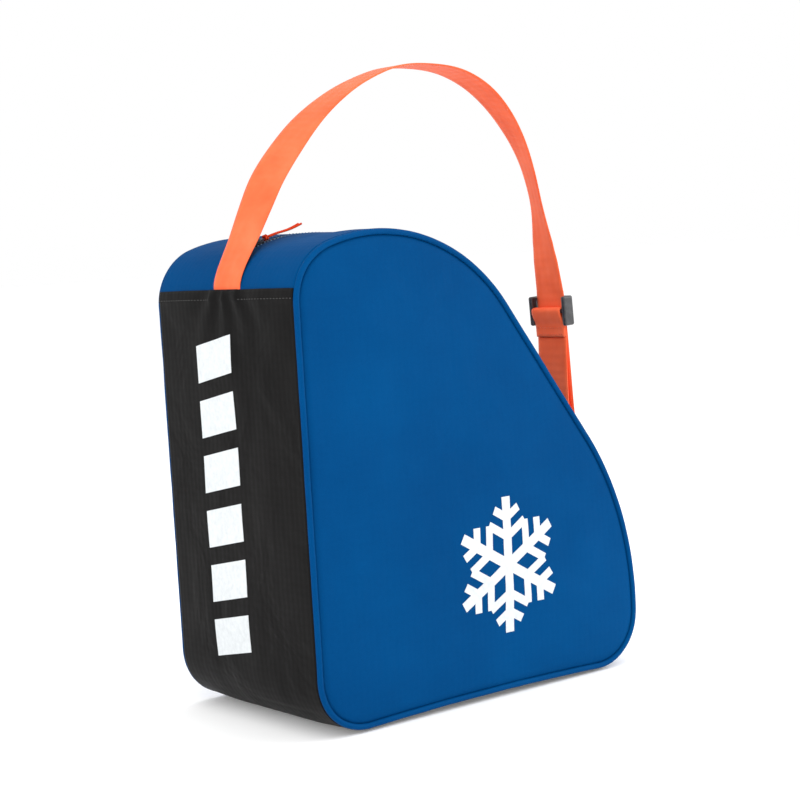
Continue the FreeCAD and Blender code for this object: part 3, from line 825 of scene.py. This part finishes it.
LEG_DOWN = Vector(JOINTS["adjuster_slide"]["axis"]).normalized()
TOEWARD = Vector((-LEG_DOWN.z, 0, LEG_DOWN.x))
LEG_TOP = heel(361.5, 334)
RING_TURN = 3.1 * MM
BAR_TURN = 2.9 * MM
CENTRE_BAR = -4.9 * MM
ADJUSTER_Z = 316
RING_Z = 190
TAB_LENGTH = 24 * MM


def leg_point(z, offset=0.0):
    return LEG_TOP + LEG_DOWN * ((LEG_TOP.z - z * MM) / -LEG_DOWN.z) + TOEWARD * offset


def half_turn(centre, start, onward, radius):
    """Points round a bar, from the start side to the opposite one."""
    points = []
    for degrees in range(0, 181, 15):
        angle = math.radians(degrees)
        points.append(centre + start * (radius * math.cos(angle)) + onward * (radius * math.sin(angle)))
    return points


def strap_shape(share):
    """The strap starts a little to the right and rolls in the hand-held part of its arch."""
    shift = -5.5 * MM * (1 - smooth_step(share / 0.18))
    roll = math.radians(14) * math.exp(-((share - 0.165) / 0.075) ** 2)
    roll += math.radians(27) * math.exp(-((share - 0.59) / 0.09) ** 2)
    return shift, roll


def make_strap():
    """Webbing from under the heel's hem, over the arch, through the adjuster and round the ring."""
    heel_part = [(2.6, 344), (2.4, 352), (1.6, 359), (2.9, 365), (7.0, 374), (14.5, 386), (22.5, 398)]
    arch = [(36, 421), (51, 445.5), (71, 469.5), (96, 494), (122, 512.5), (148, 526), (186, 538.3),
            (222, 540.0), (256, 535.3), (285, 522.5), (308, 503.5), (327, 478.5), (340, 452), (349.5, 418),
            (355.5, 380), (360, 346)]
    route = through([heel(*point) for point in heel_part + arch] + [leg_point(334)], 3 * MM)
    bow = [leg_point(z, offset) for z, offset in ((331, 0), (300, 0), (262, 0), (224, 0), (208, 0.7 * MM),
                                                 (199, 0.4 * MM), (193, 0))]
    route += through(bow, 3 * MM)
    route += half_turn(leg_point(RING_Z, -RING_TURN), TOEWARD, LEG_DOWN, RING_TURN)
    strap = webbing("strap_webbing_cloth", route, strap_shape)
    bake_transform(strap)
    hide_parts("strap_heel_end", "strap_webbing")

    foot = leg_point(RING_Z, -2 * RING_TURN)
    head = leg_point(ADJUSTER_Z, CENTRE_BAR + BAR_TURN) + LEG_DOWN * TAB_LENGTH
    middle = (foot + head) / 2 - TOEWARD * 1.6 * MM
    leg = webbing("strap_return_cloth", through([foot, middle, head], 2 * MM))
    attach(leg, "strap")
    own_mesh(leg)
    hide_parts("strap_return_leg")


def make_end_tab():
    """Sewn end of the webbing: round the adjuster's centre bar and stitched to itself."""
    bar = leg_point(ADJUSTER_Z, CENTRE_BAR)
    route = [bar + TOEWARD * BAR_TURN + LEG_DOWN * (TAB_LENGTH * (1 - part / 10)) for part in range(10)]
    route += half_turn(bar, TOEWARD, -LEG_DOWN, BAR_TURN)
    for part in range(1, 13):
        share = part / 12
        closing = smooth_step(share * 1.6) * (2 * BAR_TURN - 1.7 * MM)
        route.append(bar - TOEWARD * (BAR_TURN - closing) + LEG_DOWN * (TAB_LENGTH * share))
    tab = webbing("strap_end_cloth", route)
    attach(tab, "adjuster")
    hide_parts("strap_end_tab")
    face = bar - TOEWARD * (BAR_TURN - (2 * BAR_TURN - 1.7 * MM) + 0.85 * MM)
    inset = WEBBING_HALF - 2.5 * MM
    for number, down in enumerate((15.5, 21.5)):
        start = face + LEG_DOWN * down * MM
        line = [(start + Vector((0, y, 0)), -TOEWARD) for y in spaced(-inset, inset, 0.7 * MM)]
        row = dashes(f"tab_stitches_{number}", line, "orange_thread", 2.0 * MM, 0.9 * MM, 0.4 * MM)
        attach(row, "adjuster")


def make_anchor():
    """Short tab that holds the ring in the seam above the toe panel."""
    foot = heel(357, 170.5)
    low, high = heel(337.6, 145), heel(334.4, 151)
    along = ((low + high) / 2 - foot).normalized()
    across = Vector((-along.z, 0, along.x))
    side = across * RING_TURN
    route = through([high, (high + foot - side) / 2, foot - side], 1.5 * MM)[:-1]
    route += half_turn(foot, -across, -along, RING_TURN)
    route += through([foot + side, (low + foot + side) / 2, low], 1.5 * MM)[1:]
    tab = webbing("anchor_cloth", route)
    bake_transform(tab)
    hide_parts("anchor_tab")


# ---- zip pull ------------------------------------------------------------------------------------
STRAND = [(48.61, 1.0, 398.90), (56.6, 1.15, 401.3), (65.0, 1.35, 402.8), (73.5, 1.7, 404.9),
          (81.6, 2.3, 408.2)]
CORD_D = 1.8 * MM
PULL_ANGLE = math.radians(17.5)


def make_pull():
    """The knot behind the shackle and the two cord ends."""
    box_low, box_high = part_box("pull_knot")
    centre = (box_low + box_high) / 2
    along = Vector((math.cos(PULL_ANGLE), 0, math.sin(PULL_ANGLE)))
    up = Vector((-along.z, 0, along.x))
    points = []
    turns, steps = 2.6, 64
    for index in range(steps + 1):
        share = index / steps
        angle = 2 * math.pi * turns * share
        radius = 1.6 * MM * (1 + 0.1 * math.sin(3 * angle))
        points.append(centre + along * ((share - 0.5) * 3.4 * MM) + up * (radius * math.cos(angle))
                      + Vector((0, radius * math.sin(angle), 0)))
    knot = tube("pull_knot_wraps", points, 0.95 * MM, "orange_cord", 8)
    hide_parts("pull_knot")
    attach(knot, "puller")
    for name, side in SIDES.items():
        curve = bpy.data.curves.new(f"pull_strand_{name}", "CURVE")
        curve.dimensions = "3D"
        curve.bevel_depth = CORD_D / 2
        curve.bevel_resolution = 3
        curve.resolution_u = 16
        curve.use_fill_caps = True
        spline = curve.splines.new("NURBS")
        spline.points.add(len(STRAND) - 1)
        for point, (x, y, z) in zip(spline.points, STRAND):
            point.co = (*heel(x, z, side * y), 1)
        spline.order_u = 3
        spline.use_endpoint_u = True
        strand = bpy.data.objects.new(f"pull_strand_{name}", curve)
        bpy.context.scene.collection.objects.link(strand)
        curve.materials.append(MATERIALS["orange_cord"])
        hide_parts(f"pull_cord_{name}")
        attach(strand, "puller")
        x, y, z = STRAND[0]


def dress_cad_nodes():
    """Better finishes for the hard pieces whose CAD shape is right."""
    finishes = {"zipper_slider": "dark_metal", "slider_pull": "dark_metal", "zipper_stop_top": "dark_metal",
                "zipper_stop_bottom": "dark_metal", "strap_adjuster": "black_plastic",
                "anchor_ring": "black_plastic"}
    for name, finish in finishes.items():
        for holder in frame["nodes"][name].material_slots:
            holder.material = MATERIALS[finish]


# ---- build ---------------------------------------------------------------------------------------
make_camera()
make_pull()
make_stage()
for panel_name, panel_side in SIDES.items():
    make_side_panel(panel_name, panel_side)
    make_piping(panel_name, panel_side)
    make_gusset(panel_name, panel_side)
    make_zipper_half(panel_name, panel_side)
    make_binding(panel_name, panel_side)
make_heel_base_cloth()
make_toe_cloth()
make_prints()
make_strap()
make_end_tab()
make_anchor()
dress_cad_nodes()
